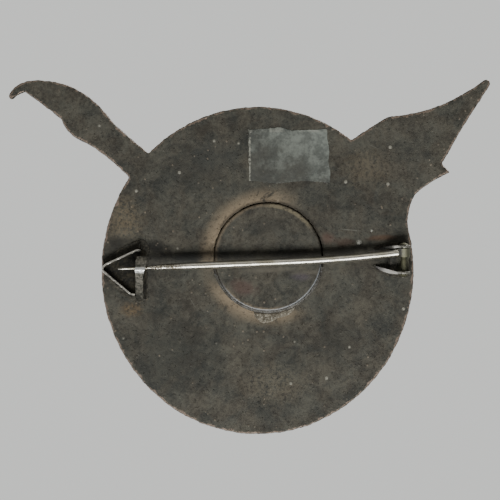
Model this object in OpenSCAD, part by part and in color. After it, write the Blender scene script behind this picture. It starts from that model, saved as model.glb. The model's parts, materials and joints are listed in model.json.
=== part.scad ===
// Winged round badge with a brooch pin on its back.
// X runs along the pin, Y from the back to the face, Z up as the badge is worn.
// The origin is the middle of the disc, on the flat back.

/* [Disc and wings] */
// Half the width of the disc
disc_rx = 15.6; // [15:0.05:16]
// Half the height of the disc
disc_rz = 16.35; // [16:0.05:16.8]
// Thickness of the plate under the relief
plate_t = 1.2; // [1.1:0.1:1.8]
// Height of the rim and the feathers above the plate
relief_h = 0.45; // [0.3:0.05:0.7]
// Width of the raised rim
rim_w = 1.0; // [0.6:0.1:1.4]
// Depth of the fields that hold the enamel
field_depth = 0.4; // [0.2:0.05:0.6]

/* [Medallion] */
// Radius of the insert where it shows on the back
medallion_r = 5.4; // [5:0.1:5.8]
// How far the insert stands out of the back
medallion_proud = 0.12; // [0.05:0.01:0.2]
// Width of the flange that laps the plate on the face
flange_w = 0.75; // [0.5:0.05:1]
// Number of points of the star
star_points = 8; // [6:2:12]

/* [Pin] */
// Height of the rivet's centreline off the back
pin_off = 1.35; // [1.3:0.05:1.45]
// Slope of the wire away from the back, from the hinge to the catch
pin_tilt = 1.3; // [1.2:0.1:1.4]
// Radius of the wire
wire_r = 0.38; // [0.34:0.01:0.4]
// Slope of the straight length towards the point
point_slope = 2.4; // [2:0.1:2.8]
// Slope of the wire where it meets the hinge
hinge_slope = 6; // [5.5:0.1:6.5]
// Radius of the bow between the two slopes
bow_r = 143; // [130:1:150]

/* [Hinge] */
// Distance of the hinge from the middle of the disc
hinge_x = 14.55; // [14.3:0.05:14.6]
// Radius of the rivet's shank
rivet_r = 0.28; // [0.24:0.01:0.3]
// Running clearance of the rivet in the ears
ear_clear = 0.03; // [0.02:0.01:0.05]
// Running clearance of the wire's eye on the rivet
eye_clear = 0.05; // [0.04:0.01:0.06]
// Thickness of the hinge's sheet metal
sheet_t = 0.24; // [0.2:0.01:0.26]

/* [Catch] */
// Height of the guard's wall off the back
guard_h = 1.2; // [0.8:0.05:1.25]
// Thickness of the hook's strap
strap_t = 0.3; // [0.2:0.02:0.34]

/* [Hidden] */
$fn = 64;

silver = [0.33, 0.32, 0.29];
solder = [0.5, 0.49, 0.45];
steel = [0.78, 0.77, 0.72];
brass = [0.55, 0.5, 0.3];

field_y = plate_t - field_depth;
face_y = plate_t + relief_h;
med = [1.05, 1.35];
seam = 0.05;
flange_r = medallion_r + flange_w;
solder_t = 0.12;
fillet_w = 0.26;
eye_r = 0.62;
eye_low = 0.46;
eye_high = 0.4;
tip_x = -13.9;
tip_z = 0.15;
slim_at = 8.4;
bow_x = 3;

// Each knot is a corner and the point that its outgoing edge bends towards.
left_wing = [
    [[-8.0, 9.3], [-11.4, 12.0]],
    [[-14.4, 14.7], [-16.6, 17.8]],
    [[-19.4, 18.65], [-23.6, 19.75]],
    [[-24.8, 17.7], [-25.0, 17.15]],
    [[-24.55, 17.15], [-24.1, 17.65]],
    [[-23.3, 17.9], [-21.9, 17.0]],
    [[-19.6, 15.1], [-19.0, 13.5]],
    [[-17.6, 13.0], [-15.5, 12.0]],
    [[-13.1, 9.6], [-11.0, 7.0]],
    [[-9.0, 5.0], [-8.5, 7.2]]
];
right_wing = [
    [[8.5, 11.0], [9.0, 12.2]],
    [[9.5, 13.1], [11.4, 14.4]],
    [[13.1, 15.35], [17.4, 15.7]],
    [[20.6, 17.65], [21.8, 18.3]],
    [[22.85, 19.1], [23.3, 19.0]],
    [[23.25, 18.6], [22.0, 16.6]],
    [[20.6, 14.45], [19.4, 12.4]],
    [[18.45, 10.7], [18.7, 10.2]],
    [[19.3, 9.85], [17.2, 9.0]],
    [[15.75, 7.6], [15.1, 6.6]],
    [[15.0, 4.75], [15.15, 3.2]],
    [[15.45, 1.3], [13.0, -1.0]],
    [[11.0, 1.0], [10.0, 6.0]]
];

// A closed outline through the knots, each edge a bent curve of n steps
function outline(knots, n = 6) = [
    for (k = [0 : len(knots) - 1])
        let (a = knots[k][0], b = knots[k][1], c = knots[(k + 1) % len(knots)][0])
        for (i = [0 : n - 1]) bent(a, b, c, i / n)
];
function bent(a, b, c, t) = (1 - t) * (1 - t) * a + 2 * t * (1 - t) * b + t * t * c;
function oval(rx, rz, n = 144) = [for (i = [0 : n - 1]) [rx * cos(360 * i / n), rz * sin(360 * i / n)]];

// Draws a flat shape in the plane of the back and gives it the depth from y0 to y1
module slab(y0, y1) {
    translate([0, y1, 0]) rotate([90, 0, 0]) linear_extrude(y1 - y0) children();
}

// ---- badge plate and enamel ----

// The two wing bands that cross the disc from the medallion to its edge
module left_band() {
    polygon([[-2.2, 6.6], [-10.9, 12.4], [-16, 13], [-13.6, 8.2], [-4.6, -0.6], med]);
}
module right_band() {
    polygon([[4.2, 6.6], [9.6, 13.2], [17, 13], [16.5, 1.2], [6.8, -0.8], med]);
}
module field() {
    difference() {
        polygon(oval(disc_rx - rim_w, disc_rz - rim_w));
        left_band();
        right_band();
    }
}

// A leaf-shaped feather from its root to its tip, bowed to one side
module feather(root, tip, w, bow) {
    along = (tip - root) / norm(tip - root);
    across = [-along[1], along[0]];
    middle = (root + tip) / 2 + across * bow;
    polygon(outline([
        [root - across * w * 0.3, middle - across * w * 0.75],
        [tip - across * w * 0.08, tip + along * w * 0.1],
        [tip + across * w * 0.08, middle + across * w * 0.75],
        [root + across * w * 0.3, root]
    ]));
}

// A feather that lies on the plate and ends at the outline of the wing
module laid(top, wing, root, tip, w, bow) {
    slab(plate_t - 0.05, top) intersection() {
        feather(root, tip, w, bow);
        union() {
            polygon(outline(wing));
            polygon(oval(disc_rx, disc_rz));
        }
    }
}

// Long feathers in a fan, then a row of short ones over their roots
module left_feathers() {
    roots = [[-4.2, 5.2], [-4.6, 3.9], [-4.7, 2.6], [-4.5, 1.3]];
    tips = [[-23.2, 18.4], [-19.8, 16.0], [-17.7, 13.6], [-14.6, 11.2]];
    for (i = [0 : 3])
        laid(face_y - 0.09 * i, left_wing, roots[i], tips[i], 2.5 - 0.15 * i, 0.9 - 0.35 * i);
    for (i = [0 : 3])
        laid(face_y + 0.1 - 0.07 * i, left_wing,
             [-3.9 - 0.25 * i, 5.6 - 1.25 * i], [-9.6 - 0.2 * i, 10.2 - 1.35 * i], 2, 0.2);
}
module right_feathers() {
    roots = [[6.0, 5.6], [6.9, 4.6], [7.2, 3.4], [7.2, 2.2], [7.0, 0.9]];
    tips = [[22.3, 18.5], [20.5, 14.9], [18.8, 11.8], [18.4, 9.7], [14.6, 5.2]];
    for (i = [0 : 4])
        laid(face_y - 0.07 * i, right_wing, roots[i], tips[i], 3.3 - 0.15 * i, -0.9 + 0.35 * i);
    for (i = [0 : 4])
        laid(face_y + 0.1 - 0.06 * i, right_wing,
             [5.6 + 0.25 * i, 6.0 - 1.2 * i], [11.0 + 0.3 * i, 10.9 - 1.9 * i], 2.2, -0.2);
}

module badge_plate() {
    color(silver) difference() {
        union() {
            slab(0, plate_t) union() {
                polygon(oval(disc_rx, disc_rz));
                polygon(outline(left_wing));
                polygon(outline(right_wing));
            }
            slab(plate_t - 0.05, face_y) difference() {
                polygon(oval(disc_rx - 0.15, disc_rz - 0.15));
                polygon(oval(disc_rx - rim_w, disc_rz - rim_w));
                polygon(outline(left_wing));
                polygon(outline(right_wing));
            }
            left_feathers();
            right_feathers();
        }
        slab(field_y, face_y + 1) field();
        slab(field_y, face_y + 1) translate(med) circle(flange_r + seam);
        slab(-1, face_y + 1) translate(med) circle(medallion_r + seam);
    }
}

// The stretch of the field within the child shape, clear of the medallion
module enamel_shape() {
    difference() {
        intersection() {
            field();
            children();
        }
        translate(med) circle(flange_r + seam);
    }
}
module above_medallion() {
    translate([-11.5, 6.4]) square([22, disc_rz]);
}
module upper_enamel() {
    color([0.75, 0.78, 0.76]) slab(field_y, plate_t - 0.08) enamel_shape() above_medallion();
}
module lower_enamel() {
    color([0.1, 0.18, 0.42]) slab(field_y, plate_t - 0.08) enamel_shape() difference() {
        translate([-disc_rx, -disc_rz]) square([2 * disc_rx, 2 * disc_rz]);
        above_medallion();
    }
}

// ---- medallion ----

// Points alternate between the outer and the inner radius
module star(r_out, r_in) {
    n = 2 * star_points;
    polygon([for (i = [0 : n - 1])
        let (r = i % 2 == 1 ? r_in : (i % 4 == 0 ? r_out : r_out * 0.72))
        [r * sin(360 * i / n), r * cos(360 * i / n)]]);
}
module medallion_field() {
    difference() {
        circle(flange_r - 0.8);
        star(flange_r - 1, 1.3);
    }
}
module medallion() {
    color(silver) difference() {
        union() {
            slab(-medallion_proud, face_y) translate(med) circle(medallion_r);
            slab(field_y, face_y + 0.25) translate(med) circle(flange_r);
        }
        slab(face_y - 0.2, face_y + 1) translate(med) medallion_field();
    }
}
module medallion_enamel() {
    color([0.5, 0.08, 0.07]) slab(face_y - 0.2, face_y + 0.1) translate(med) medallion_field();
}

// A thin fillet of solder round the lower half of the insert
module medallion_solder() {
    color(solder) translate([med[0], 0, med[1]]) rotate([90, 0, 0]) rotate([0, 0, 185])
        rotate_extrude(angle = 165, $fn = 144)
            polygon([[medallion_r + 0.01, 0], [medallion_r + fillet_w, 0], [medallion_r + 0.01, 0.1]]);
}

// A low cap of a ball, with its foot on the back
module drop(x, z, foot_r, h) {
    ball_r = (foot_r * foot_r + h * h) / (2 * h);
    intersection() {
        translate([x, ball_r - h, z]) sphere(ball_r, $fn = 96);
        translate([x - foot_r, -h - 0.1, z - foot_r]) cube([2 * foot_r, h + 0.1, 2 * foot_r]);
    }
}
module solder_patch() {
    color(solder) slab(-0.07, 0) difference() {
        polygon(outline([
            [[-0.4, -4.1], [1.4, -4.3]], [[3.6, -3.2], [4.0, -3.6]], [[3.4, -4.2], [2.8, -4.7]],
            [[2.0, -4.75], [1.5, -5.2]], [[0.8, -5.25], [0.2, -5.3]], [[0.1, -4.9], [-0.3, -4.9]]
        ]));
        translate(med) circle(medallion_r + fillet_w + 0.02, $fn = 144);
    }
}
module solder_speck() {
    color(solder) {
        drop(10.15, 2.85, 0.3, 0.14);
        drop(11.4, 4.0, 0.15, 0.07);
    }
}

// ---- hinge ----

bow_z = tip_z + tan(point_slope) * (bow_x - tip_x);
bow_centre = [bow_x - bow_r * sin(point_slope), bow_z + bow_r * cos(point_slope)];
bow_end = bow_centre + bow_r * [sin(hinge_slope), -cos(hinge_slope)];
hinge_z = bow_end[1] + tan(hinge_slope) * (hinge_x - bow_end[0]);
ear_z = [hinge_z - 1.9, hinge_z + 0.48];
bracket_r = 0.68;
bracket_x = [11.8, 15.15];

// Where a line from p touches the circle about c on its outer side
function touch(p, c, r) =
    let (d = c - p, turn = atan2(d[1], d[0]) - asin(r / norm(d)) - 90)
    c + r * [cos(turn), sin(turn)];

module ear_side() {
    c = [hinge_x, -pin_off];
    foot = [bracket_x[0], -solder_t - 0.2];
    difference() {
        union() {
            translate(c) circle(bracket_r);
            polygon([[bracket_x[0], -solder_t], foot, touch(foot, c, bracket_r), c,
                     [hinge_x + bracket_r, -pin_off], [bracket_x[1], -solder_t]]);
        }
        translate(c) circle(rivet_r + ear_clear);
    }
}
// One ear as seen from the back: flat at the rivet, and curled inwards at its thin end
module ear_back(curl) {
    end = bracket_x[1] + 0.1;
    polygon(concat(
        [for (i = [0 : 7]) bent([13.9, 0], [13.0, -0.4 * curl], [11.75, -curl], i / 8)],
        [for (i = [0 : 8]) bent([11.75, -curl], [12.3, sheet_t - 0.1], [13.7, sheet_t], i / 8)],
        [[end, sheet_t], [end, 0]]));
}
module ear(curl) {
    intersection() {
        translate([0, 0, -1]) linear_extrude(2) ear_side();
        slab(-5, 0) ear_back(curl);
    }
}
module hinge_bracket() {
    color(silver) {
        translate([0, 0, ear_z[0]]) mirror([0, 0, 1]) ear(0.6);
        translate([0, 0, ear_z[1]]) ear(0.25);
        translate([13.2, -solder_t - sheet_t, ear_z[0] - 0.1])
            cube([bracket_x[1] - 13.2, sheet_t, ear_z[1] - ear_z[0] + 0.2]);
    }
}
module hinge_solder() {
    color(solder) slab(-solder_t, 0)
        polygon(outline([
            [[15.15, -0.6], [14.3, -0.85]], [[13.4, -0.6], [12.2, -0.4]], [[11.5, 0.4], [11.5, 0.7]],
            [[12.3, 0.5], [13.0, 0.4]], [[13.1, 1.0], [13.1, 1.7]], [[12.6, 1.95], [11.8, 2.0]],
            [[11.5, 2.15], [11.6, 2.5]], [[12.9, 2.75], [13.8, 3.0]], [[14.7, 2.8], [15.1, 2.75]],
            [[15.15, 2.2], [15.3, 0.8]]
        ]));
}
module rivet_head() {
    r = 0.5;
    h = 0.24;
    ball_r = (r * r + h * h) / (2 * h);
    intersection() {
        translate([0, 0, h - ball_r]) sphere(ball_r);
        cylinder(h = h + 0.1, r = r);
    }
}
module hinge_rivet() {
    play = 0.03;
    low = ear_z[0] - sheet_t - play;
    high = ear_z[1] + sheet_t + play;
    color(brass) translate([hinge_x, -pin_off, 0]) {
        translate([0, 0, low - 0.05]) cylinder(h = high - low + 0.1, r = rivet_r);
        translate([0, 0, high]) rivet_head();
        translate([0, 0, low]) mirror([0, 0, 1]) rivet_head();
    }
}

// ---- pin ----

// The straight length, turned from half of its section: from the point to the bow
module needle() {
    long = (bow_x - tip_x) / cos(point_slope);
    translate([tip_x, -pin_off, tip_z]) rotate([0, 90 - point_slope, 0]) rotate_extrude()
        polygon([[0, 0], [0.05, 0.02], [0.11, 0.35], [0.15, 2.7], [0.3, 4.3], [wire_r, slim_at],
                 [wire_r, long], [0, long]]);
}
// The bow is a hair thinner than the straight lengths that it ends inside
module bow() {
    lap = 0.06;
    translate([bow_centre[0], -pin_off, bow_centre[1]]) rotate([90, 0, 0])
        rotate([0, 0, point_slope - lap - 90])
        rotate_extrude(angle = hinge_slope - point_slope + 2 * lap, $fn = 1440)
            translate([bow_r, 0]) circle(wire_r - 0.01, $fn = 48);
}
// The length of wire that runs into the eye
module root() {
    translate([bow_end[0], -pin_off, bow_end[1]]) rotate([0, 90 - hinge_slope, 0])
        cylinder(h = (hinge_x - bow_end[0]) / cos(hinge_slope), r = wire_r);
}
module pin() {
    color(steel) difference() {
        union() {
            translate([hinge_x, -pin_off, 0]) rotate([0, 0, pin_tilt]) translate([-hinge_x, pin_off, 0]) {
                needle();
                bow();
                root();
            }
            translate([hinge_x, -pin_off, hinge_z - eye_low]) cylinder(h = eye_low + eye_high, r = eye_r);
        }
        translate([hinge_x, -pin_off, hinge_z - 1]) cylinder(h = 2, r = rivet_r + eye_clear);
    }
}

// ---- catch ----

guard_t = 0.2;
guard_line = [[-11.65, 2.15], [-12.1, 2.12], [-15.15, 0.72], [-15.5, 0.4], [-15.5, -0.1],
              [-12.75, -2.4], [-12.25, -2.5]];
floor_t = 0.16;
hook_x = [-12.4, -10.6];
hook_foot = [-2.75, -solder_t - floor_t];
catch_off = pin_off + tan(pin_tilt) * (hinge_x + 11.7);
crest = [0.06, -catch_off - 0.4];
lip = [1.42, -catch_off - 0.14];

// The point at the distance d to one side of a line's knot
function side_of(line, i, d) =
    let (a = line[max(i - 1, 0)], b = line[min(i + 1, len(line) - 1)], v = (b - a) / norm(b - a))
    line[i] + d * [-v[1], v[0]];

// A band that follows a line, on one side of it between the distances d0 and d1
module band(line, d0, d1) {
    n = len(line) - 1;
    polygon(concat([for (i = [0 : n]) side_of(line, i, d0)], [for (i = [n : -1 : 0]) side_of(line, i, d1)]));
}
module catch_guard() {
    stub_x = -11.9;
    color(silver) {
        slab(-guard_h, -solder_t) band(guard_line, 0, guard_t);
        slab(0.25 - guard_h, -solder_t) translate([stub_x, 2]) square([0.2, 0.75]);
        slab(-solder_t - floor_t, -solder_t)
            polygon(concat(guard_line, [[-11.1, -2.9], [-11.1, 1.9]]));
    }
}
module catch_solder() {
    color(solder) slab(-solder_t, 0)
        polygon(outline([
            [[-11.6, 3.1], [-13.6, 2.6]], [[-15.3, 1.0], [-15.4, 0.2]], [[-15.2, -0.7], [-13.9, -2.4]],
            [[-12.4, -3.1], [-11.4, -3.3]], [[-10.9, -2.9], [-11.1, 0.0]], [[-10.8, 2.0], [-10.9, 3.0]]
        ], 5));
}

// The strap's middle line, first up from its foot to the crest, then down to its lip
function strap_line(n = 8) = concat(
    [for (i = [0 : n - 1]) bent(hook_foot, (hook_foot + crest) / 2 + [0.05, -0.35], crest, i / n)],
    [for (i = [0 : n / 2]) bent(crest, [0.9, crest[1] + 0.02], lip, 2 * i / n)]
);
module catch_hook() {
    color(silver) intersection() {
        translate([hook_x[1], 0, 0]) rotate([0, -90, 0]) linear_extrude(hook_x[1] - hook_x[0])
            band(strap_line(), -strap_t / 2, strap_t / 2);
        slab(-5, -solder_t - floor_t)
            polygon([[-12.15, -3.2], [-11.4, -3.2], [-11.35, -0.6], [-11.2, 0.1], [-11.0, 0.8],
                     [-10.75, 1.6], [-12.0, 1.4], [-12.15, 0.9], [-12.2, 0]]);
    }
}

// ---- remnant of a stuck label ----

module label_remnant() {
    color([0.5, 0.52, 0.48]) slab(-0.06, 0)
        polygon([[-0.9, 14.1], [0.6, 14.15], [2.3, 14.35], [3.4, 14.0], [6.95, 14.15], [7.0, 13.2],
                 [7.2, 11.9], [7.1, 10.9], [7.3, 9.8], [7.25, 8.8], [4.6, 8.95], [1.8, 8.7], [-0.85, 9.0]]);
}

badge_plate();
upper_enamel();
lower_enamel();
medallion();
medallion_enamel();
medallion_solder();
solder_patch();
solder_speck();
hinge_solder();
hinge_bracket();
hinge_rivet();
pin();
catch_solder();
catch_guard();
catch_hook();
label_remnant();
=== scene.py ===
# Dresses the winged pin-back badge. Pieces are worked in millimetres, then shrunk to metres.
import json
import math

import bpy
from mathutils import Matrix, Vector, kdtree

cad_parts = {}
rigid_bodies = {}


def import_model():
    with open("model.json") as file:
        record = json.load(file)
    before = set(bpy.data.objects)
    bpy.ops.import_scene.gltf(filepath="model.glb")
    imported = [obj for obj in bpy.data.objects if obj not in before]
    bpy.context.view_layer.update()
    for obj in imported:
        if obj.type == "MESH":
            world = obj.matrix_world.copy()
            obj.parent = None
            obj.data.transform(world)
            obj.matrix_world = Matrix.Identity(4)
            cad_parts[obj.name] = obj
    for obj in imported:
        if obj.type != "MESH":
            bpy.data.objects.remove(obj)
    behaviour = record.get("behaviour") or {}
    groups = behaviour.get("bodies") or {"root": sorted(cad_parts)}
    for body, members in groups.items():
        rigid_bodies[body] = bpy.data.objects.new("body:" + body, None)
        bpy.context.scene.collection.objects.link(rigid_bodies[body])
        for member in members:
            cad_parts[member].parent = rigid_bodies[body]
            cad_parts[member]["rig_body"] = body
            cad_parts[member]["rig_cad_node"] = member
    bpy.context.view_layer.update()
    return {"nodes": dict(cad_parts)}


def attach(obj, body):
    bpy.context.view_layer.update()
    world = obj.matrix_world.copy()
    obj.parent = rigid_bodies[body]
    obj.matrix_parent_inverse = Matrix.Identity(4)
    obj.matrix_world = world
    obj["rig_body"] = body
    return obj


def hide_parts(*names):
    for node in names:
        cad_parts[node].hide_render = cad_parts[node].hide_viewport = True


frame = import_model()
coarse = 1.0
print("frame loaded:", len(frame["nodes"]), "nodes")


stageSizes = {"radius": 1.6, "drop": 0.35, "height": 2.2, "corner": 0.25}
cameraPlace = {"x": -0.00075, "z": 0.00205, "width": 0.05, "lens": 250, "sensor": 36}
lampList = {  # place, aim, width, height, watts, colour
    "keyBelow": ((0.04, -0.44, -0.31), (0, 0, 0), 0.34, 0.17, 3.1, (1.0, 0.99, 0.96)),
    "fillAbove": ((-0.1, -0.5, 0.5), (0, 0, 0), 0.7, 0.5, 0.75, (1.0, 0.94, 0.8)),
    "faceKey": ((0.35, 0.4, 0.5), (0, 0, 0), 0.3, 0.3, 5.0, (1.0, 0.98, 0.95)),
    "faceFill": ((-0.45, 0.5, -0.1), (0, 0, 0), 0.6, 0.6, 2.6, (0.96, 0.98, 1.0)),
}
roomLight = {"colour": (0.92, 0.96, 1.0, 1), "strength": 0.1}


def only(obj):  # selects one object and nothing else
    bpy.ops.object.select_all(action="DESELECT")
    obj.select_set(True)
    bpy.context.view_layer.objects.active = obj


def buildStage():
    size = stageSizes
    bpy.ops.object.select_all(action="DESELECT")
    bpy.ops.mesh.primitive_circle_add(vertices=96, radius=size["radius"], fill_type="NGON",
                                      location=(0, 0, -size["drop"]))
    bowl = bpy.context.object
    bowl.name = "paleFloor"
    bpy.ops.object.mode_set(mode="EDIT")
    bpy.ops.mesh.select_all(action="SELECT")
    bpy.ops.mesh.extrude_region_move(TRANSFORM_OT_translate={"value": (0, 0, size["height"])})
    bpy.ops.mesh.delete(type="ONLY_FACE")  # the lid goes, the floor and wall stay
    bpy.ops.object.mode_set(mode="OBJECT")
    useModifier(bowl, "BEVEL", width=size["corner"], segments=12)
    bpy.ops.object.shade_smooth()
    paint = bpy.data.materials.new("palePaper")
    paint.use_nodes = True
    shader = paint.node_tree.nodes["Principled BSDF"]
    shader.inputs["Base Color"].default_value = (0.0, 0.0, 0.0, 1)
    shader.inputs["Specular IOR Level"].default_value = 0.0
    shader.inputs["Emission Color"].default_value = (0.78, 0.79, 0.77, 1)
    shader.inputs["Emission Strength"].default_value = 1.0
    bowl.data.materials.append(paint)
    bowl.visible_diffuse = bowl.visible_glossy = bowl.visible_shadow = False


def addLamps():
    for name, (place, aim, width, height, watts, colour) in lampList.items():
        lamp = bpy.data.lights.new(name, "AREA")
        lamp.shape, lamp.size, lamp.size_y = "RECTANGLE", width, height
        lamp.energy, lamp.color = watts, colour
        holder = bpy.data.objects.new(name, lamp)
        bpy.context.scene.collection.objects.link(holder)
        holder.location = place
        holder.rotation_euler = (Vector(aim) - Vector(place)).to_track_quat("-Z", "Y").to_euler()
        holder.visible_camera = False
    world = bpy.data.worlds.new("room")
    world.use_nodes = True
    world.node_tree.nodes["Background"].inputs["Color"].default_value = roomLight["colour"]
    world.node_tree.nodes["Background"].inputs["Strength"].default_value = roomLight["strength"]
    bpy.context.scene.world = world


def addCamera():
    c = cameraPlace
    view = bpy.data.cameras.new("camera")
    view.lens, view.sensor_width = c["lens"], c["sensor"]
    view.clip_start, view.clip_end = 0.01, 5
    holder = bpy.data.objects.new("camera", view)
    bpy.context.scene.collection.objects.link(holder)
    holder.location = (c["x"], -c["width"] * c["lens"] / c["sensor"], c["z"])
    holder.rotation_euler = (math.radians(90), 0, 0)
    bpy.context.scene.camera = holder


def resize(obj, factor):
    only(obj)
    obj.scale = (factor, factor, factor)
    bpy.ops.object.transform_apply(location=False, rotation=False, scale=True)


def takeCopy(node, name):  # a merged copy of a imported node, in millimetres
    only(frame["nodes"][node])
    bpy.ops.object.duplicate()
    piece = bpy.context.object
    bpy.ops.object.parent_clear(type="CLEAR_KEEP_TRANSFORM")
    piece.name = piece.data.name = name
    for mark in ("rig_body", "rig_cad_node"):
        del piece[mark]
    piece.data.materials.clear()
    resize(piece, 1000)
    bpy.ops.object.mode_set(mode="EDIT")
    bpy.ops.mesh.select_all(action="SELECT")
    bpy.ops.mesh.remove_doubles(threshold=0.0005)
    bpy.ops.mesh.normals_make_consistent(inside=False)
    bpy.ops.object.mode_set(mode="OBJECT")
    bpy.ops.mesh.customdata_custom_splitnormals_clear()
    return piece


def useModifier(piece, kind, **settings):
    only(piece)
    step = piece.modifiers.new(kind.lower(), kind)
    for key, value in settings.items():
        setattr(step, key, value)
    bpy.ops.object.modifier_apply(modifier=step.name)


def markSides(piece, name, steep):  # a group of the points whose faces look sideways
    group = piece.vertex_groups.new(name=name)
    group.add([v.index for v in piece.data.vertices if abs(v.normal.y) < steep], 1.0, "REPLACE")


def roughen(piece, grain, depth, direction="NORMAL", group=""):
    texture = bpy.data.textures.new("grain", "CLOUDS")
    texture.noise_scale = grain
    useModifier(piece, "DISPLACE", texture=texture, texture_coords="LOCAL", strength=depth,
                mid_level=0.5, direction=direction, vertex_group=group)


def shapeCopy(node, name, look, carve=None):  # an evenly meshed copy with worn corners and skin
    piece = takeCopy(node, name)
    useModifier(piece, "REMESH", mode="VOXEL", voxel_size=look["voxel"] * coarse)
    if "worn" in look:
        markSides(piece, "corner", 0.96)
        useModifier(piece, "SMOOTH", factor=0.5, iterations=look["worn"], vertex_group="corner")
    if "ragged" in look:
        markSides(piece, "side", 0.85)
        for grain, depth in look["ragged"]:
            roughen(piece, grain, depth, "X", "side")
            roughen(piece, grain * 0.9, depth, "Z", "side")
    if carve:  # the facing of every point is read before any of them moves
        outward = [point.normal.y > 0.5 for point in piece.data.vertices]
        places = [point.co.copy() for point in piece.data.vertices]
        for place, isOut in zip(places, outward):
            place.y += carve(place)[0] if isOut else 0.0
        piece.data.vertices.foreach_set("co", [value for place in places for value in place])
        piece.data.update()
    for grain, depth in look["waves"]:
        roughen(piece, grain, depth)
    if look["kept"] < 1:
        useModifier(piece, "DECIMATE", ratio=look["kept"])
    only(piece)
    bpy.ops.object.shade_smooth_by_angle(angle=math.radians(50))
    return piece


def measureEdge(piece, reach):  # nearEdge is 1 on the cut edge and 0 at the reach from it
    points = piece.data.vertices
    sides = [v.co for v in points if abs(v.normal.y) < 0.6]
    tree = kdtree.KDTree(len(sides))
    for index, place in enumerate(sides):
        tree.insert(place, index)
    tree.balance()
    near = piece.data.attributes.new("nearEdge", "FLOAT", "POINT")
    near.data.foreach_set("value", [max(0.0, 1 - tree.find(v.co)[2] / reach) for v in points])


def markHollows(piece, carve):  # hollow is 1 in the grooves of the face and 0 on its high points
    hollow = piece.data.attributes.new("hollow", "FLOAT", "POINT")
    hollow.data.foreach_set("value", [carve(v.co)[1] for v in piece.data.vertices])


def putAway(piece, body, node, paint):  # back to metres, and on its body
    resize(piece, 0.001)
    piece.data.materials.append(paint)
    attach(piece, body)
    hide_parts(node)
    print("made", piece.name, len(piece.data.polygons), "faces")


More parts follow.
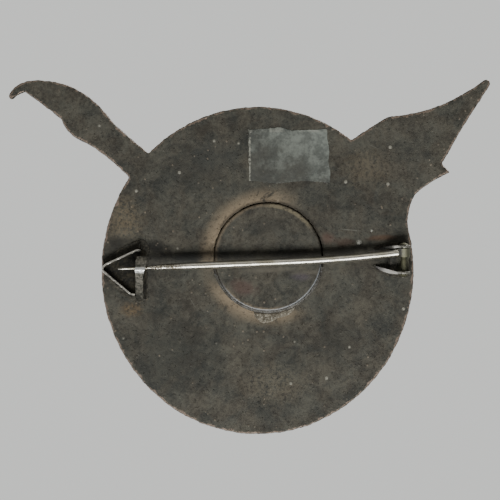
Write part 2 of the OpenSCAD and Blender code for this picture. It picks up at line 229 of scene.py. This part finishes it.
class Paint:  # a material and short ways to add its nodes; places are in millimetres
    def __init__(self, name, **values):
        self.material = bpy.data.materials.new(name)
        self.material.use_nodes = True
        self.tree = self.material.node_tree
        self.shader = self.tree.nodes["Principled BSDF"]
        for key, value in values.items():
            self.shader.inputs[key.replace("_", " ")].default_value = value
        coords = self.tree.nodes.new("ShaderNodeTexCoord")
        scale = self.add("ShaderNodeVectorMath", operation="SCALE")
        scale.inputs["Scale"].default_value = 1000
        self.tree.links.new(coords.outputs["Object"], scale.inputs[0])
        self.where = scale.outputs["Vector"]
        split = self.add("ShaderNodeSeparateXYZ")
        self.tree.links.new(self.where, split.inputs[0])
        self.x, self.y, self.z = split.outputs
        facing = self.add("ShaderNodeSeparateXYZ")
        self.tree.links.new(coords.outputs["Normal"], facing.inputs[0])
        self.facing = facing.outputs["Y"]

    def add(self, kind, **settings):
        step = self.tree.nodes.new(kind)
        for key, value in settings.items():
            setattr(step, key, value)
        return step

    def join(self, value, socket):
        if isinstance(value, bpy.types.NodeSocket):
            self.tree.links.new(value, socket)
        else:
            socket.default_value = value

    def math(self, operation, a, b=0.0):
        step = self.add("ShaderNodeMath", operation=operation)
        self.join(a, step.inputs[0])
        self.join(b, step.inputs[1])
        return step.outputs[0]

    def times(self, *values):
        total = values[0]
        for value in values[1:]:
            total = self.math("MULTIPLY", total, value)
        return total

    def plus(self, *values):
        total = values[0]
        for value in values[1:]:
            total = self.math("ADD", total, value)
        return total

    def between(self, value, low, high):  # 0 at low and 1 at high
        step = self.add("ShaderNodeMapRange", interpolation_type="SMOOTHSTEP")
        self.join(value, step.inputs["Value"])
        step.inputs["From Min"].default_value = low
        step.inputs["From Max"].default_value = high
        return step.outputs["Result"]

    def mix(self, share, under, over):
        step = self.add("ShaderNodeMix", data_type="RGBA")
        self.join(share, step.inputs[0])
        self.join(under if not isinstance(under, tuple) else under + (1,), step.inputs[6])
        self.join(over if not isinstance(over, tuple) else over + (1,), step.inputs[7])
        return step.outputs[2]

    def noise(self, size, detail=4.0, rough=0.6, twist=0.0, stretch=(1, 1, 1), shift=(0, 0, 0)):
        step = self.add("ShaderNodeTexNoise")
        step.inputs["Scale"].default_value = 1 / size
        step.inputs["Detail"].default_value = detail
        step.inputs["Roughness"].default_value = rough
        step.inputs["Distortion"].default_value = twist
        self.join(self.moved(stretch, shift), step.inputs["Vector"])
        return step.outputs["Fac"]

    def moved(self, stretch, shift):
        if stretch == (1, 1, 1) and shift == (0, 0, 0):
            return self.where
        step = self.add("ShaderNodeMapping")
        step.inputs["Scale"].default_value = stretch
        step.inputs["Location"].default_value = shift
        self.join(self.where, step.inputs["Vector"])
        return step.outputs["Vector"]

    def dots(self, spacing, radius, share):  # round specks; share is the part of cells with one
        step = self.add("ShaderNodeTexVoronoi")
        step.inputs["Scale"].default_value = 1 / spacing
        self.join(self.where, step.inputs["Vector"])
        split = self.add("ShaderNodeSeparateColor")
        self.join(step.outputs["Color"], split.inputs[0])
        inside = self.between(step.outputs["Distance"], radius / spacing * 1.4, radius / spacing * 0.6)
        return self.times(inside, self.between(split.outputs[0], 1 - share, 1.01 - share))

    def spot(self, centre, reach, wobble, edge=0.8, turn=0.0):  # 1 inside an oval, 0 outside
        step = self.add("ShaderNodeMapping", vector_type="TEXTURE")
        step.inputs["Location"].default_value = (centre[0], 0, centre[1])
        step.inputs["Rotation"].default_value = (0, math.radians(turn), 0)
        step.inputs["Scale"].default_value = (reach[0], 60, reach[1])
        self.join(self.where, step.inputs["Vector"])
        length = self.add("ShaderNodeVectorMath", operation="LENGTH")
        self.join(step.outputs["Vector"], length.inputs[0])
        bent = self.plus(length.outputs["Value"], self.times(wobble, 0.9))
        return self.between(bent, 1.45, 1.45 - edge)

    def ringRadius(self, centre):  # distance from an axis that runs front to back
        dx = self.math("SUBTRACT", self.x, centre[0])
        dz = self.math("SUBTRACT", self.z, centre[1])
        return self.math("SQRT", self.plus(self.times(dx, dx), self.times(dz, dz))), dx, dz

    def bump(self, height, depth):  # depth in millimetres
        step = self.add("ShaderNodeBump")
        step.inputs["Distance"].default_value = depth / 1000
        self.join(height, step.inputs["Height"])
        self.join(step.outputs["Normal"], self.shader.inputs["Normal"])

    def colour(self, value):
        self.join(value, self.shader.inputs["Base Color"])

    def roughness(self, value):
        self.join(value, self.shader.inputs["Roughness"])


medallionCentre = (1.05, 1.35)
ringSize = 5.4
tarnishAndShadeTones = {
    "dark": (0.024, 0.024, 0.021),
    "light": (0.118, 0.113, 0.09),
    "green": (0.05, 0.058, 0.052),
    "brown": (0.078, 0.062, 0.043),
    "tanSpeck": (0.24, 0.2, 0.15),
    "paleSpeck": (0.34, 0.33, 0.28),
    "pit": (0.018, 0.017, 0.014),
    "halo": (0.27, 0.215, 0.145),
    "seam": (0.018, 0.014, 0.008),
    "scratch": (0.3, 0.3, 0.27),
}
stainsAndShade = [  # centre, reach, turn, colour, strength, grainy or smooth; the sixteenth row and the last five are painted shade with some old grime, round the catch, above the wire and round the hinge
    ((-13.3, 5.0), (2.5, 3.2), 0, (0.19, 0.15, 0.095), 0.6, True),
    ((-12.6, -3.9), (1.6, 1.0), 0, (0.17, 0.12, 0.065), 0.7, True),
    ((10.9, 10.2), (3.4, 3.0), 0, (0.15, 0.125, 0.085), 0.5, True),
    ((1.6, -11.4), (4.8, 2.8), 0, (0.16, 0.14, 0.1), 0.5, True),
    ((12.5, 3.25), (2.0, 0.42), -3, (0.1, 0.058, 0.035), 0.75, False),
    ((8.6, 2.8), (1.4, 0.7), 0, (0.085, 0.052, 0.038), 0.6, False),
    ((-1.4, -1.7), (1.9, 1.1), 15, (0.115, 0.066, 0.055), 0.5, False),
    ((4.4, -0.6), (1.4, 0.6), 0, (0.095, 0.078, 0.1), 0.5, False),
    ((7.0, 3.2), (1.0, 0.9), 30, (0.12, 0.066, 0.05), 0.55, False),
    ((-8.5, -8.5), (7.5, 5.5), 0, (0.028, 0.03, 0.026), 0.5, False),
    ((-6.0, 10.0), (6.0, 3.4), 0, (0.03, 0.033, 0.03), 0.4, False),
    ((8.0, -7.0), (3.6, 3.0), 0, (0.03, 0.029, 0.024), 0.5, False),
    ((1.5, 0.1), (4.6, 0.42), -2.5, (0.19, 0.175, 0.14), 0.45, False),
    ((5.2, -0.2), (2.6, 0.4), -2, (0.15, 0.135, 0.11), 0.4, False),
    ((1.0, 4.4), (2.8, 1.5), 0, (0.034, 0.033, 0.028), 0.5, False),
    # painted shade: the dark above the catch guard's upper arm
    ((-13.8, 2.9), (2.6, 0.75), 0, (0.02, 0.019, 0.016), 0.7, False),
    ((-4.5, 11.5), (4.0, 2.2), 0, (0.04, 0.044, 0.042), 0.35, False),
    # painted shade with some old grime: the shadows round the catch and hook, above the wire and round
    # the hinge
    ((-13.0, 0.3), (4.6, 3.4), 0, (0.012, 0.012, 0.011), 0.85, False),
    ((-10.2, 2.4), (2.6, 0.9), 0, (0.008, 0.008, 0.007), 0.85, False),
    ((-6.0, 1.35), (7.0, 0.75), -1, (0.02, 0.021, 0.021), 0.75, False),
    ((6.0, 1.6), (8.5, 0.9), -2.5, (0.014, 0.012, 0.01), 0.75, False),
    ((13.7, 1.3), (2.6, 2.5), 0, (0.011, 0.011, 0.009), 0.85, False),
]
scratches = [  # centre, reach, turn, strength
    ((9.3, 4.05), (1.6, 0.05), 5, 0.4),
    ((-0.3, 10.3), (0.6, 0.03), -32, 0.5),
    ((11.6, 12.4), (0.8, 0.03), 25, 0.35),
    ((-6.5, -3.2), (0.9, 0.03), 60, 0.35),
]


def tarnish(paint):  # the colour and height of the tarnished back with its painted shade round the wire, catch, hinge and medallion rim, and two noises to reuse
    tone = tarnishAndShadeTones
    broad = paint.noise(5.0, 4, 0.6, 0.3)
    blotch = paint.noise(1.5, 5, 0.68, 0.6)
    fine = paint.noise(0.36, 4, 0.75)
    grain = paint.noise(0.13, 2, 0.7, shift=(7, 3, 5))
    hue = paint.mix(paint.between(paint.noise(2.6, 4, 0.65, 0.5, shift=(11, 0, 4)), 0.36, 0.64),
                    tone["green"], tone["brown"])
    level = paint.plus(paint.times(broad, 0.26), paint.times(blotch, 0.3), paint.times(fine, 0.3),
                       paint.times(grain, 0.14))
    shade = paint.mix(paint.between(level, 0.4, 0.61), tone["dark"], tone["light"])
    colour = paint.mix(0.25, shade, hue)
    for centre, reach, turn, tint, strength, grainy in stainsAndShade:
        share = paint.times(paint.spot(centre, reach, blotch, turn=turn), strength)
        if grainy:
            share = paint.times(share, paint.between(fine, 0.36, 0.6))
        colour = paint.mix(share, colour, tint)
    radius, dx, dz = paint.ringRadius(medallionCentre)
    halo = paint.times(paint.between(radius, ringSize + 1.9, ringSize + 0.2),
                       paint.between(radius, ringSize - 0.5, ringSize))
    sides = paint.plus(paint.between(paint.plus(paint.times(dx, -0.8), dz), 1.5, 6.5),
                       paint.between(paint.plus(dz, paint.times(dx, 0.35)), -3.6, -5.6))
    share = paint.times(halo, sides, paint.between(blotch, 0.3, 0.48),
                        paint.between(fine, 0.2, 0.5), 0.95)
    colour = paint.mix(share, colour, tone["halo"])
    # painted shadow of the medallion's rim along the upper arc of the seam
    groove = paint.times(paint.between(radius, ringSize - 0.3, ringSize),
                         paint.between(radius, ringSize + 0.45, ringSize + 0.1),
                         paint.between(paint.plus(dz, paint.times(dx, 0.5)), -1.5, 2.5))
    colour = paint.mix(paint.times(groove, 0.8), colour, tone["seam"])
    for centre, reach, turn, strength in scratches:
        share = paint.times(paint.spot(centre, reach, fine, turn=turn), strength)
        colour = paint.mix(share, colour, tone["scratch"])
    crowd = paint.between(paint.noise(4.0, 3, 0.6, shift=(2, 5, 9)), 0.42, 0.62)
    specks = paint.dots(0.7, 0.1, 0.5)
    colour = paint.mix(paint.times(specks, crowd, 0.6), colour, tone["tanSpeck"])
    brights = paint.dots(1.9, 0.16, 0.4)
    colour = paint.mix(paint.times(brights, 0.75), colour, tone["paleSpeck"])
    pits = paint.between(paint.noise(0.24, 3, 0.6, shift=(3, 8, 1)), 0.38, 0.28)
    colour = paint.mix(paint.times(pits, 0.25), colour, tone["pit"])
    height = paint.plus(paint.times(fine, 0.6), paint.times(grain, 0.3), paint.times(specks, 0.4),
                        paint.times(brights, 0.6), paint.times(pits, -0.7))
    return colour, fine, blotch, height


faceLook = {"recess": (0.075, 0.069, 0.056), "tarnish": (0.36, 0.33, 0.27),
            "silver": (0.68, 0.66, 0.61), "backMetallic": 0.5, "moreMetallic": 0.25,
            "rough": 0.4, "smoother": -0.1}


def faceMetal(paint, blotch, fine):  # worn silver with dark grime left in the hollows
    hollow = paint.add("ShaderNodeAttribute", attribute_name="hollow").outputs["Fac"]
    level = paint.plus(hollow, paint.times(blotch, 0.5), paint.times(fine, 0.3))
    silver = paint.mix(paint.between(blotch, 0.42, 0.62), faceLook["silver"], faceLook["tarnish"])
    return paint.mix(paint.between(level, 0.42, 1.0), silver, faceLook["recess"])


def metallicByFace(paint, onFace):  # cleaner metal on the face than on the back
    metallic = paint.plus(faceLook["backMetallic"], paint.times(onFace, faceLook["moreMetallic"]))
    paint.join(metallic, paint.shader.inputs["Metallic"])


featherLook = {"ridge": 0.06, "crown": 0.14, "barb": 0.035, "shaftWidth": 0.12,
               "barbPitch": 0.55, "slant": 1.2, "reliefStarts": 1.28}
featherList = (  # height, root, tip, width and bow of each feather on the face, the highest first
    [(1.75 - 0.07 * i, (-3.9 - 0.25 * i, 5.6 - 1.25 * i), (-9.6 - 0.2 * i, 10.2 - 1.35 * i), 2.0, 0.2)
     for i in range(4)] +
    [(1.75 - 0.06 * i, (5.6 + 0.25 * i, 6.0 - 1.2 * i), (11.0 + 0.3 * i, 10.9 - 1.9 * i), 2.2, -0.2)
     for i in range(5)] +
    [(1.65 - 0.09 * i, root, tip, 2.5 - 0.15 * i, 0.9 - 0.35 * i) for i, (root, tip) in enumerate([
        ((-4.2, 5.2), (-23.2, 18.4)), ((-4.6, 3.9), (-19.8, 16.0)), ((-4.7, 2.6), (-17.7, 13.6)),
        ((-4.5, 1.3), (-14.6, 11.2))])] +
    [(1.65 - 0.07 * i, root, tip, 3.3 - 0.15 * i, -0.9 + 0.35 * i) for i, (root, tip) in enumerate([
        ((6.0, 5.6), (22.3, 18.5)), ((6.9, 4.6), (20.5, 14.9)), ((7.2, 3.4), (18.8, 11.8)),
        ((7.2, 2.2), (18.4, 9.7)), ((7.0, 0.9), (14.6, 5.2))])])
featherList.sort(reverse=True)


def carveFeather(place):  # how far a point of a feather moves out, and how deep in a groove it is
    look = featherLook
    if place.y < look["reliefStarts"]:
        return 0.0, 1.0
    for top, root, tip, width, bow in featherList:
        runX, runZ = tip[0] - root[0], tip[1] - root[1]
        length = math.hypot(runX, runZ)
        along = ((place.x - root[0]) * runX + (place.z - root[1]) * runZ) / length
        t = along / length
        if not 0 <= t <= 1.02:
            continue
        off = ((place.z - root[1]) * runX - (place.x - root[0]) * runZ) / length
        off -= 2 * bow * t * (1 - t)
        half = width * (0.3 * (1 - t) ** 2 + 1.5 * t * (1 - t) + 0.08 * t * t)
        if abs(off) < half:
            side = abs(off) / half
            shaft = math.exp(-(off / look["shaftWidth"]) ** 2)
            wave = math.sin(2 * math.pi * (along - look["slant"] * abs(off)) / look["barbPitch"])
            barb = (0.5 + 0.5 * wave) * (1 - shaft)
            lift = look["ridge"] * shaft - look["crown"] * side ** 3 - look["barb"] * barb
            return lift, max(side ** 5, 0.45 * barb)
    return 0.0, 0.0


plateLook = {
    "voxel": 0.09, "worn": 3, "ragged": [(0.8, 0.16), (0.28, 0.1)],
    "waves": [(2.5, 0.03), (0.45, 0.02)], "kept": 0.36, "edgeReach": 0.6, "grainRoughness": 0.32,
    "wornCopper": (0.36, 0.27, 0.21), "wornDark": (0.1, 0.085, 0.07), "wornShare": 0.85,
    "faceStarts": (0.7, 0.8),
}


def makePlate():
    look = plateLook
    piece = shapeCopy("badge_plate", "plateBody", look, carveFeather)
    measureEdge(piece, look["edgeReach"])
    markHollows(piece, carveFeather)
    paint = Paint("plateTarnishAndShade")
    colour, fine, blotch, height = tarnish(paint)
    near = paint.add("ShaderNodeAttribute", attribute_name="nearEdge").outputs["Fac"]
    slope = paint.math("ABSOLUTE", paint.facing)
    chips = paint.noise(0.55, 4, 0.65, 0.4, shift=(1, 9, 2))
    band = paint.between(paint.plus(near, paint.times(chips, 1.3)), 1.34, 1.5)
    corner = paint.times(paint.between(slope, 0.985, 0.85), paint.between(chips, 0.36, 0.5))
    worn = paint.math("MAXIMUM", band, corner)
    radius, dx, dz = paint.ringRadius(medallionCentre)
    worn = paint.times(worn, paint.between(paint.y, 0.5, 0.2), paint.between(slope, 0.2, 0.45),
                       paint.between(radius, ringSize + 0.8, ringSize + 1.2), look["wornShare"])
    colour = paint.mix(worn, colour, paint.mix(fine, look["wornDark"], look["wornCopper"]))
    onFace = paint.between(paint.y, *look["faceStarts"])
    paint.colour(paint.mix(onFace, colour, faceMetal(paint, blotch, fine)))
    metallicByFace(paint, onFace)
    paint.roughness(paint.plus(faceLook["rough"], paint.times(fine, look["grainRoughness"]),
                               paint.times(worn, -0.1), paint.times(onFace, faceLook["smoother"])))
    paint.bump(height, 0.035)
    putAway(piece, "badge", "badge_plate", paint.material)


medallionLook = {
    "voxel": 0.075, "worn": 2, "waves": [(1.6, 0.03), (0.4, 0.012)], "kept": 0.5,
    "lowerRimHighlight": (0.25, 0.265, 0.28), "darkRim": (0.03, 0.025, 0.016), "crust": (0.19, 0.165, 0.11),
    "starPoints": 8, "starReach": 5.3, "facet": 0.3, "facetDepth": 0.12,
    "beads": 64, "bead": 0.09, "beadRing": 5.75, "beadReach": 0.34, "reliefStarts": 1.78,
    "faceStarts": (0.6, 0.75),
}


def carveMedallion(place):  # facets on the star and a beaded flange
    look = medallionLook
    dx, dz = place.x - medallionCentre[0], place.z - medallionCentre[1]
    radius = math.hypot(dx, dz)
    if place.y < look["reliefStarts"]:
        return 0.0, 1.0
    if radius < look["starReach"]:
        step = 2 * math.pi / look["starPoints"]
        turn = math.atan2(dx, dz) / step
        across = radius * math.sin(abs(turn - round(turn)) * step)
        return -min(look["facetDepth"], look["facet"] * across), 0.0
    notch = 0.5 - 0.5 * math.cos(math.atan2(dz, dx) * look["beads"])
    middle = max(0.0, 1 - ((radius - look["beadRing"]) / look["beadReach"]) ** 2)
    return -look["bead"] * notch * middle, 0.8 * notch * middle


def makeMedallion():
    look = medallionLook
    piece = shapeCopy("medallion", "medallionBody", look, carveMedallion)
    markHollows(piece, carveMedallion)
    paint = Paint("medallionMetal")
    colour, fine, blotch, height = tarnish(paint)
    radius, dx, dz = paint.ringRadius(medallionCentre)
    # painted highlight on the lower arc of the rim, the side that faces the lamp below
    rim = paint.between(radius, ringSize - 0.2, ringSize - 0.1)
    lower = paint.between(paint.plus(dz, paint.times(dx, -0.15)), -0.8, -2.6)
    colour = paint.mix(paint.times(rim, lower, 0.75), colour, look["lowerRimHighlight"])
    colour = paint.mix(paint.times(rim, paint.between(dx, -3.5, -4.8), 0.7), colour, look["darkRim"])
    inner = paint.times(paint.between(radius, ringSize - 0.55, ringSize - 0.35),
                        paint.between(radius, ringSize, ringSize - 0.2))
    place = paint.times(paint.between(dz, 2.6, 3.6), paint.between(dx, -0.6, 0.4),
                        paint.between(fine, 0.35, 0.55))
    colour = paint.mix(paint.times(inner, place), colour, look["crust"])
    onFace = paint.between(paint.y, *look["faceStarts"])
    paint.colour(paint.mix(onFace, colour, faceMetal(paint, blotch, fine)))
    metallicByFace(paint, onFace)
    paint.roughness(paint.plus(faceLook["rough"], paint.times(fine, 0.3),
                               paint.times(onFace, faceLook["smoother"])))
    paint.bump(height, 0.03)
    putAway(piece, "badge", "medallion", paint.material)


enamelLooks = {
    "upper_enamel": {"name": "whiteEnamel", "voxel": 0.1, "waves": [(1.8, 0.03)], "kept": 0.4,
                     "base": (0.6, 0.62, 0.58), "deep": (0.48, 0.5, 0.46), "rays": 0.2},
    "lower_enamel": {"name": "blueEnamel", "voxel": 0.12, "waves": [(1.8, 0.03)], "kept": 0.4,
                     "base": (0.006, 0.022, 0.12), "deep": (0.014, 0.05, 0.24), "rays": 0.8},
    "medallion_enamel": {"name": "redEnamel", "voxel": 0.07, "waves": [(1.2, 0.02)], "kept": 0.4,
                         "base": (0.17, 0.006, 0.007), "deep": (0.36, 0.014, 0.012), "rays": 0.5},
}


def makeEnamels():
    for node, look in enamelLooks.items():
        piece = shapeCopy(node, look["name"], look)
        paint = Paint(look["name"], Roughness=0.16, Coat_Weight=0.6, Coat_Roughness=0.05)
        cloudy = paint.noise(3.0, 4, 0.6)
        radius, dx, dz = paint.ringRadius(medallionCentre)
        turn = paint.math("ARCTAN2", dz, dx)
        ray = paint.math("SINE", paint.plus(paint.times(turn, 60), paint.times(cloudy, 2.0)))
        level = paint.plus(paint.times(ray, 0.5 * look["rays"]), cloudy)
        colour = paint.mix(paint.between(level, 0.1, 0.95), look["base"], look["deep"])
        bubble = paint.dots(1.1, 0.06, 0.25)
        paint.colour(paint.mix(paint.times(bubble, 0.6), colour, tuple(c * 0.3 for c in look["base"])))
        paint.bump(paint.plus(cloudy, paint.times(bubble, -0.5)), 0.02)
        putAway(piece, "badge", node, paint.material)


solderLooks = {
    "medallion_solder": {"name": "ringSolder", "voxel": 0.025, "waves": [(0.7, 0.05), (0.2, 0.02)],
                         "kept": 0.35,
                         "tones": ((0.05, 0.046, 0.038), (0.1, 0.096, 0.085), (0.2, 0.205, 0.205))},
    "solder_patch": {"name": "spiltSolder", "voxel": 0.03, "waves": [(0.5, 0.05), (0.15, 0.03)],
                     "kept": 0.5,
                     "tones": ((0.09, 0.078, 0.055), (0.2, 0.18, 0.14), (0.42, 0.4, 0.34))},
    "solder_speck": {"name": "solderSpecks", "voxel": 0.02, "waves": [(0.25, 0.06), (0.1, 0.02)],
                     "kept": 0.6,
                     "tones": ((0.2, 0.2, 0.17), (0.27, 0.27, 0.24), (0.42, 0.42, 0.38))},
    "hinge_solder": {"name": "hingeSolder", "voxel": 0.04, "waves": [(0.6, 0.1), (0.2, 0.03)],
                     "kept": 0.5,
                     "tones": ((0.026, 0.024, 0.019), (0.05, 0.046, 0.036), (0.12, 0.105, 0.08))},
    "catch_solder": {"name": "catchSolder", "voxel": 0.04, "waves": [(0.6, 0.1), (0.2, 0.03)],
                     "kept": 0.4,
                     "tones": ((0.028, 0.027, 0.022), (0.055, 0.052, 0.041), (0.13, 0.115, 0.085))},
}


def makeSolder():
    for node, look in solderLooks.items():
        piece = shapeCopy(node, look["name"], look)
        paint = Paint(look["name"], Metallic=0.5)
        dark, mid, light = look["tones"]
        blotch = paint.noise(0.7, 4, 0.65, 0.4)
        fine = paint.noise(0.18, 4, 0.7)
        colour = paint.mix(paint.between(blotch, 0.38, 0.6), dark, mid)
        paint.colour(paint.mix(paint.between(fine, 0.52, 0.68), colour, light))
        paint.roughness(paint.plus(0.35, paint.times(fine, 0.4)))
        paint.bump(fine, 0.02)
        putAway(piece, "badge", node, paint.material)


fittingLooks = {  # crest is the depth where the bright metal starts and where it is brightest: worn metal with a painted highlight on the top edges, while the deeper metal is kept dark as painted shade
    "catch_guard": {"name": "catchGuard", "metallic": 0.8, "voxel": 0.04,
                    "waves": [(0.7, 0.05), (0.2, 0.02)], "kept": 0.5,
                    "crest": (-1.02, -1.17), "deep": (0.014, 0.014, 0.013),
                    "mottle": (0.05, 0.045, 0.032),
                    "bright": (0.52, 0.5, 0.45)},
    "catch_hook": {"name": "catchHook", "metallic": 0.8, "voxel": 0.04,
                   "waves": [(0.7, 0.05), (0.2, 0.025)], "kept": 0.7,
                   "crest": (-2.26, -2.42), "deep": (0.05, 0.05, 0.043), "mottle": (0.2, 0.19, 0.16),
                   "bright": (0.8, 0.82, 0.8)},
    "hinge_bracket": {"name": "hingeBracket", "metallic": 0.35, "voxel": 0.035,
                      "waves": [(0.6, 0.05), (0.2, 0.02)], "kept": 0.6,
                      "olive": (0.075, 0.075, 0.05), "violet": (0.26, 0.245, 0.25),
                      "crest": (-0.3, -0.8), "deep": (0.02, 0.02, 0.016),
                      "mottle": (0.07, 0.064, 0.052),
                      "bright": (0.85, 0.83, 0.78)},
}


def makeFittings():
    for node, look in fittingLooks.items():
        piece = shapeCopy(node, look["name"], look)
        paint = Paint(look["name"], Metallic=look["metallic"])
        blotch = paint.noise(0.6, 4, 0.65, 0.5)
        fine = paint.noise(0.16, 4, 0.7)
        level = paint.plus(paint.times(blotch, 0.6), paint.times(fine, 0.4))
        colour = paint.mix(paint.between(level, 0.42, 0.6), look["deep"], look["mottle"])
        crest = paint.between(paint.plus(paint.y, paint.times(fine, 0.08)), *look["crest"])
        crest = paint.times(crest, paint.between(blotch, 0.25, 0.45))
        if node == "catch_hook":  # polished and given a painted highlight only where the strap bends over the wire
            crest = paint.times(crest, paint.between(paint.z, -0.75, -0.35),
                                paint.between(paint.z, 0.4, 0.2))
        colour = paint.mix(crest, colour, look["bright"])
        if node == "hinge_bracket":  # olive by the rivet, violet-grey thin ends, and painted shade on the upper ear
            byRivet = paint.times(paint.between(paint.x, 13.75, 14.4), 0.8)
            thinEnd = paint.times(paint.between(paint.x, 12.9, 12.3), 0.7)
            upperEarShade = paint.times(paint.between(paint.x, 13.7, 13.35),
                                   paint.between(paint.z, 1.0, 1.4), 0.9)
            colour = paint.mix(byRivet, colour, look["olive"])
            colour = paint.mix(thinEnd, colour, look["violet"])
            colour = paint.mix(upperEarShade, colour, look["deep"])
        paint.colour(colour)
        paint.roughness(paint.plus(0.5, paint.times(crest, -0.25), paint.times(fine, 0.15)))
        paint.bump(paint.plus(blotch, fine), 0.02)
        putAway(piece, "badge", node, paint.material)


rivetLook = {"voxel": 0.03, "waves": [(0.4, 0.02)], "kept": 0.6,
             "tones": ((0.06, 0.062, 0.038), (0.13, 0.128, 0.08), (0.22, 0.205, 0.135))}


def makeRivet():
    piece = shapeCopy("hinge_rivet", "hingeRivet", rivetLook)
    paint = Paint("rivetBrass", Metallic=0.6)
    dark, mid, light = rivetLook["tones"]
    blotch = paint.noise(0.5, 4, 0.6)
    fine = paint.noise(0.12, 4, 0.7)
    colour = paint.mix(paint.between(blotch, 0.35, 0.6), dark, mid)
    paint.colour(paint.mix(paint.between(fine, 0.55, 0.7), colour, light))
    paint.roughness(paint.plus(0.5, paint.times(fine, 0.3)))
    paint.bump(fine, 0.01)
    putAway(piece, "swivel", "hinge_rivet", paint.material)


pinLook = {"steel": (0.72, 0.71, 0.66), "dull": (0.46, 0.44, 0.36), "rust": (0.1, 0.08, 0.05),
           "eye": (0.3, 0.3, 0.21), "roughness": 0.25}


def makePin():
    paint = Paint("pinWire", Metallic=1.0)
    drawn = paint.noise(0.1, 3, 0.6, stretch=(0.06, 1, 1))
    patch = paint.noise(0.8, 4, 0.6, stretch=(0.4, 1, 1))
    fine = paint.noise(0.12, 3, 0.7)
    colour = paint.mix(paint.between(patch, 0.35, 0.62), pinLook["steel"], pinLook["dull"])
    specks = paint.times(paint.between(paint.x, -6.5, -8.5), paint.between(paint.x, -12.0, -11.0),
                         paint.between(fine, 0.44, 0.56))
    stray = paint.times(paint.between(fine, 0.62, 0.7), 0.6)
    colour = paint.mix(paint.math("MAXIMUM", specks, stray), colour, pinLook["rust"])
    eye = paint.between(paint.x, 14.25, 14.5)
    colour = paint.mix(paint.times(eye, 0.9), colour, pinLook["eye"])
    paint.colour(colour)
    paint.roughness(paint.plus(pinLook["roughness"], paint.times(patch, 0.16), paint.times(specks, 0.2),
                               paint.times(eye, 0.25)))
    paint.bump(paint.plus(paint.times(drawn, 0.6), fine), 0.008)
    pin = frame["nodes"]["pin"]
    pin.data.materials.clear()
    pin.data.materials.append(paint.material)


labelLook = {"voxel": 0.03, "ragged": [(0.5, 0.12), (0.2, 0.05)], "waves": [(0.9, 0.03)], "kept": 0.3,
             "veil": (0.2, 0.222, 0.198), "grey": (0.115, 0.13, 0.118), "dim": (0.042, 0.046, 0.04),
             "line": (0.34, 0.34, 0.29)}


def makeLabel():
    look = labelLook
    piece = shapeCopy("label_remnant", "labelRemnant", look)
    paint = Paint("labelFilm", Metallic=0.0)
    under, fine, blotch, height = tarnish(paint)
    patch = paint.noise(1.5, 5, 0.65, 0.5, shift=(4, 4, 4))
    slant = paint.plus(paint.times(paint.x, 0.085), paint.times(paint.z, 0.13))
    level = paint.plus(slant, paint.times(patch, 1.3), paint.times(fine, 0.6))
    cover = paint.times(paint.between(level, 2.2, 3.4), 0.95)
    cloud = paint.plus(patch, paint.times(blotch, 0.7), paint.times(fine, 0.5))
    film = paint.mix(paint.between(cloud, 0.95, 1.25), look["grey"], look["veil"])
    under = paint.mix(0.6, under, look["dim"])
    colour = paint.mix(paint.plus(cover, 0.04), under, film)
    edge = paint.times(paint.between(paint.x, -0.62, -0.76), paint.between(fine, 0.42, 0.55), 0.8)
    top = paint.times(paint.between(paint.z, 13.75, 13.95), paint.between(patch, 0.4, 0.6), 0.35)
    colour = paint.mix(paint.math("MAXIMUM", edge, top), colour, look["line"])
    paint.colour(colour)
    paint.roughness(paint.plus(0.38, paint.times(fine, 0.25)))
    paint.bump(paint.plus(height, paint.times(patch, 0.6)), 0.02)
    putAway(piece, "badge", "label_remnant", paint.material)


addCamera()
buildStage()
addLamps()
print("stage ready")
makePlate()
makeMedallion()
makeEnamels()
makeSolder()
makeFittings()
makeRivet()
makePin()
makeLabel()
print("pieces ready")
